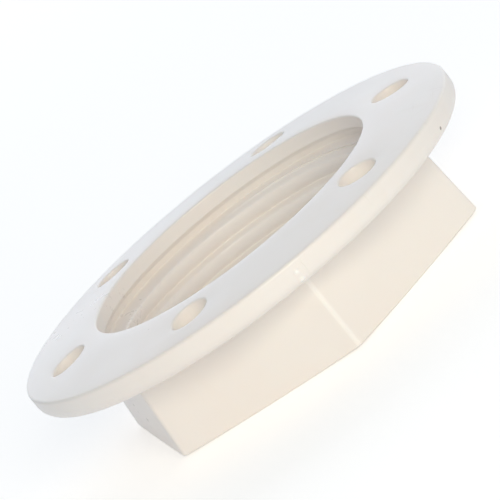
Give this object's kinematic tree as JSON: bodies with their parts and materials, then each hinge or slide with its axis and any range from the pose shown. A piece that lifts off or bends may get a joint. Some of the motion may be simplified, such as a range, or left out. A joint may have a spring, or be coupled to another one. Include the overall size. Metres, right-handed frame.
{
  "type": "threaded toilet flange",
  "caption": "Round plastic screw-down flange with a ring of plain screw holes, a hexagonal wrench body under it and a right-hand internal pipe thread through both.",
  "frame": {"origin": "on the bore axis, in the plane of the hexagon's free end, which the fitting stands on", "axes": "+Z along the bore axis, towards the disc's face; +X through a corner of the hexagon, midway between two screw holes"},
  "size_m": [0.1, 0.1, 0.0245],
  "materials": {
    "ivory_plastic": "smooth off-white injection moulding, satin to semi-gloss, with light handling marks"
  },
  "bodies": {
    "root": {"flange_body": "ivory_plastic"}
  },
  "joints": []
}
